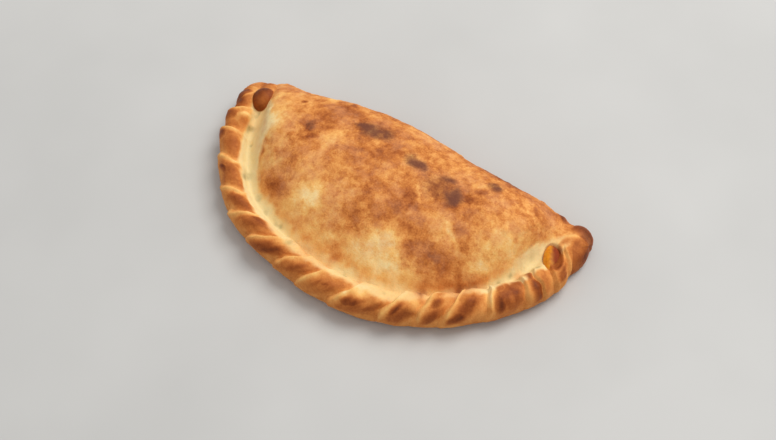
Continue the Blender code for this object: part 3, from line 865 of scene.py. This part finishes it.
def make_ooze(finish):
    """The drop of filling: a flattened ball, swollen unevenly by noise, lying in the split.
    Its scorch grows from 0 on its left to 1 on its right, with a wavy edge."""
    rings, steps = 60, 96
    rise = np.linspace(-0.5 * np.pi, 0.5 * np.pi, rings + 2)[1:-1, None]
    turn = np.linspace(2.0 * np.pi, 0.0, steps, endpoint=False)[None, :]
    ball = np.stack((
        np.cos(rise) * np.cos(turn),
        np.cos(rise) * np.sin(turn),
        np.sin(rise) * np.ones_like(turn),
    ), axis=2).reshape(-1, 3)
    ball = np.concatenate((ball, [(0.0, 0.0, -1.0), (0.0, 0.0, 1.0)]))
    lumps = 1.0 + layered_noise(ball, OOZE_LUMPS)
    points = ball * lumps[:, None] * np.array(OOZE_RADII)
    spin = np.array(Matrix.Rotation(SPLIT_TURN, 3, "Z"))
    points = points @ spin.T + np.array([*SPLIT_MIDDLE, OOZE_LEVEL])
    scorch = between(ball[:, 0] + 0.14 * lattice_noise(ball, 0.3, 63), -0.42, 0.40)
    faces = closed_faces(rings, steps)
    ooze = add_piece("oozed_filling", points, faces, {"scorch": scorch}, finish)
    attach(ooze, "root")
    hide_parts("filling_ooze")


# ---------------- finishes

# Colours are sRGB, from 0 to 255. The dough's and the filling's run along a value.
DOUGH_COLOURS = (
    (0.00, (242, 216, 158)), (0.15, (241, 203, 138)), (0.30, (236, 181, 104)), (0.45, (222, 152, 81)),
    (0.58, (199, 122, 57)), (0.72, (169, 93, 38)), (0.86, (137, 66, 19)), (1.00, (100, 43, 9)),
)
FLOUR_COLOUR = (227, 208, 156)
HAZE_COLOUR = (206, 144, 102)
CHAR_COLOUR = (104, 58, 42)
HERB_COLOUR = (118, 108, 60)
AMBER_COLOURS = ((0.30, (196, 112, 14)), (0.62, (226, 150, 34)))
SCORCH_COLOUR = (132, 52, 12)
FLOOR_COLOURS = ((0.35, (188, 188, 187)), (0.65, (194, 194, 193)))


class Value:
    """A number on a node socket. Arithmetic on it adds Math nodes to the same finish."""

    def __init__(self, finish, socket):
        self.finish = finish
        self.socket = socket

    def math(self, operation, first, second):
        """A Math node of the operation on two values."""
        return self.finish.add("ShaderNodeMath", {"operation": operation}, {0: first, 1: second})

    def __add__(self, other):
        return self.math("ADD", self, other)

    __radd__ = __add__

    def __mul__(self, other):
        return self.math("MULTIPLY", self, other)

    __rmul__ = __mul__

    def __sub__(self, other):
        return self.math("SUBTRACT", self, other)

    def __rsub__(self, other):
        return self.math("SUBTRACT", other, self)

    def step(self, low, high):
        """Smooth step from 0 at low to 1 at high."""
        settings = {"interpolation_type": "SMOOTHSTEP"}
        sockets = {"Value": self, "From Min": low, "From Max": high}
        return self.finish.add("ShaderNodeMapRange", settings, sockets)


class Finish:
    """One material, built node by node."""

    def __init__(self, name, **constants):
        self.material = bpy.data.materials.new(name)
        self.material.use_nodes = True
        self.nodes = self.material.node_tree.nodes
        self.links = self.material.node_tree.links
        self.shader = self.nodes["Principled BSDF"]
        for socket, value in constants.items():
            self.shader.inputs[socket.replace("_", " ")].default_value = value
        self.place = self.add("ShaderNodeTexCoord", {}, {}, "Object")

    def add(self, kind, settings, sockets, output=0):
        """Add a node, set its settings, then fill its sockets with values or links."""
        node = self.nodes.new(kind)
        for name, value in settings.items():
            if name == "stops":
                ramp = node.color_ramp
                while len(ramp.elements) < len(value):
                    ramp.elements.new(1.0)
                for element, (position, colour) in zip(ramp.elements, value):
                    element.position = position
                    element.color = (*linear(colour), 1.0)
            else:
                setattr(node, name, value)
        for key, value in sockets.items():
            if isinstance(value, Value):
                self.links.new(value.socket, node.inputs[key])
            else:
                node.inputs[key].default_value = value
        return Value(self, node.outputs[output])

    def channel(self, name):
        """A value kept at each point of the piece."""
        return self.add("ShaderNodeAttribute", {"attribute_name": name}, {}, "Fac")

    def noise(self, scale, detail, roughness):
        """Fractal noise from 0 to 1 over the piece, its scale in waves per metre."""
        sockets = {"Vector": self.place, "Scale": scale, "Detail": detail, "Roughness": roughness}
        return self.add("ShaderNodeTexNoise", {}, sockets)

    def spots(self, scale):
        """Distance to scattered points, about one in each 1 / scale metres."""
        return self.add("ShaderNodeTexVoronoi", {}, {"Vector": self.place, "Scale": scale})

    def ramp(self, value, stops):
        """Colours along a value, as (place, sRGB colour) stops."""
        return self.add("ShaderNodeValToRGB", {"stops": stops}, {"Fac": value})

    def mix(self, share, colour, over):
        """Lay an sRGB colour over a colour value, by a share from 0 to 1."""
        settings = {"data_type": "RGBA", "clamp_factor": True}
        sockets = {0: share, 6: colour, 7: (*linear(over), 1.0)}
        return self.add("ShaderNodeMix", settings, sockets, 2)

    def paint(self, **inputs):
        """Link values to the shader's inputs."""
        for name, value in inputs.items():
            self.links.new(value.socket, self.shader.inputs[name.replace("_", " ")])

    def relief(self, height, distance, strength):
        """A bump of the height value times the distance in metres, as the shader's normal."""
        sockets = {"Height": height, "Distance": distance, "Strength": strength}
        self.paint(Normal=self.add("ShaderNodeBump", {}, sockets))


def linear(colour):
    """An sRGB colour in 0 to 255 as linear numbers."""
    parts = np.array(colour) / 255.0
    return tuple(np.where(parts <= 0.04045, parts / 12.92, ((parts + 0.055) / 1.055) ** 2.4))


def crust_finish():
    """Baked dough: raw cream through gold and orange to dark brown, mottled by noise, with
    charred blisters, herb flecks in the groove and a dusty haze."""
    crust = Finish("baked crust", Specular_IOR_Level=0.18, Subsurface_Weight=0.05,
                   Subsurface_Scale=0.003, Subsurface_Radius=(1.0, 0.55, 0.25))
    bake = crust.channel("bake")
    dome = crust.channel("dome")
    mottle = crust.noise(180.0, 5.0, 0.62)
    speckle = crust.noise(820.0, 3.0, 0.62)
    pores = crust.spots(620.0)

    # How brown: the bake, mottled and speckled, and on the dome freckled and blotched too
    freckle = crust.noise(420.0, 3.0, 0.55).step(0.55, 0.68)
    freckle = freckle * crust.noise(75.0, 3.0, 0.5).step(0.42, 0.62)
    blotch = crust.noise(120.0, 4.0, 0.55).step(0.46, 0.58)
    brown = bake + (mottle - 0.5) * (0.34 * dome + 0.30)
    brown = brown + (speckle - 0.5) * (0.12 * dome + 0.18)
    brown = brown + freckle * 0.10 * dome + pores.step(0.34, 0.10) * 0.05 * dome
    brown = brown + (blotch - 0.5) * 0.06 * dome
    colour = crust.ramp(brown, DOUGH_COLOURS)

    # What lies on it: flour in the groove, haze on the dome, char and herbs
    flour = crust.channel("cream") * (0.35 + mottle * 0.9)
    haze = crust.noise(70.0, 5.0, 0.65).step(0.42, 0.68) * dome
    burn = crust.channel("char") + (mottle - 0.5) * 0.6 + (speckle - 0.5) * 0.3
    leaf = crust.channel("herb") * (0.5 + mottle)
    colour = crust.mix(flour, colour, FLOUR_COLOUR)
    colour = crust.mix(haze * 0.34, colour, HAZE_COLOUR)
    colour = crust.mix(burn.step(0.0, 1.15) * 0.95, colour, CHAR_COLOUR)
    colour = crust.mix(leaf * 0.9, colour, HERB_COLOUR)
    crust.paint(Base_Color=colour)

    crust.paint(Roughness=0.72 - bake.step(0.55, 1.0) * 0.22 + (speckle - 0.5) * 0.2)
    skin = mottle * 0.5 + speckle * 0.8 + crust.noise(1500.0, 3.0, 0.6) * 0.4
    crust.relief(skin - pores.step(0.30, 0.08) * 0.4, 0.0006, 0.5)
    return crust.material


def filling_finish():
    """Oozed filling: clear amber, scorched red-brown and drier towards its right edge."""
    filling = Finish("oozed filling", Specular_IOR_Level=0.3, Subsurface_Weight=0.25,
                     Subsurface_Scale=0.003, Subsurface_Radius=(1.0, 0.4, 0.08))
    scorch = filling.channel("scorch")
    cloud = filling.noise(420.0, 3.0, 0.55)
    colour = filling.mix(scorch, filling.ramp(cloud, AMBER_COLOURS), SCORCH_COLOUR)
    filling.paint(Base_Color=colour)
    filling.paint(Roughness=0.30 + cloud * 0.12 + scorch * 0.45)
    filling.relief(cloud, 0.0004, 0.4)
    return filling.material


# ---------------- floor, light and camera

WARM_WHITE = (1.0, 0.985, 0.96)
SURROUND_STRENGTH = 0.66
KEY_PLACE = (0.6, 1.1, 1.9)
KEY_SIZE = 1.4
KEY_POWER = 38.0
# The view: turn from the front, height, tip of the frame, aim, distance and lens
VIEW_ROUND = math.radians(32.0)
VIEW_UP = math.radians(55.3)
VIEW_TIP = math.radians(-2.5)
VIEW_AIM = (0.0052, 0.009, 0.0)
VIEW_DISTANCE = 1.0839
VIEW_LENS = 70.0


def add_floor():
    """A plain pale floor well beyond the view."""
    mesh = bpy.data.meshes.new("floor")
    mesh.from_pydata([(-6, -6, 0), (6, -6, 0), (6, 6, 0), (-6, 6, 0)], [], [(0, 1, 2, 3)])
    floor = bpy.data.objects.new("floor", mesh)
    bpy.context.scene.collection.objects.link(floor)
    paint = Finish("pale floor", Roughness=0.85, Specular_IOR_Level=0.2)
    paint.paint(Base_Color=paint.ramp(paint.noise(6.0, 3.0, 0.5), FLOOR_COLOURS))
    mesh.materials.append(paint.material)


def add_light():
    """A soft square lamp behind and to the right of the view, and an even pale surround."""
    world = bpy.data.worlds.new("surround")
    bpy.context.scene.world = world
    world.use_nodes = True
    surround = world.node_tree.nodes["Background"]
    surround.inputs["Color"].default_value = (*WARM_WHITE, 1.0)
    surround.inputs["Strength"].default_value = SURROUND_STRENGTH
    data = bpy.data.lights.new("key", "AREA")
    data.shape = "SQUARE"
    data.size = KEY_SIZE
    data.energy = KEY_POWER
    data.color = WARM_WHITE
    lamp = bpy.data.objects.new("key", data)
    bpy.context.scene.collection.objects.link(lamp)
    lamp.location = KEY_PLACE
    lamp.rotation_euler = (-Vector(KEY_PLACE)).to_track_quat("-Z", "Y").to_euler()
    bpy.context.scene.view_settings.view_transform = "Standard"


def add_camera():
    """The camera, looking at its aim from the view's turn, height and distance."""
    back = Vector((math.sin(VIEW_ROUND) * math.cos(VIEW_UP),
                   -math.cos(VIEW_ROUND) * math.cos(VIEW_UP), math.sin(VIEW_UP)))
    right = Vector((math.cos(VIEW_ROUND), math.sin(VIEW_ROUND), 0.0))
    turn = Matrix((right, back.cross(right), back)).transposed()
    data = bpy.data.cameras.new("camera")
    data.lens = VIEW_LENS
    data.sensor_width = 36.0
    data.clip_start = 0.01
    camera = bpy.data.objects.new("camera", data)
    bpy.context.scene.collection.objects.link(camera)
    camera.matrix_world = (
        Matrix.Translation(Vector(VIEW_AIM) + back * VIEW_DISTANCE)
        @ turn.to_4x4()
        @ Matrix.Rotation(VIEW_TIP, 4, "Z")
    )
    bpy.context.scene.camera = camera


make_crust(crust_finish())
make_ooze(filling_finish())
add_floor()
add_light()
add_camera()
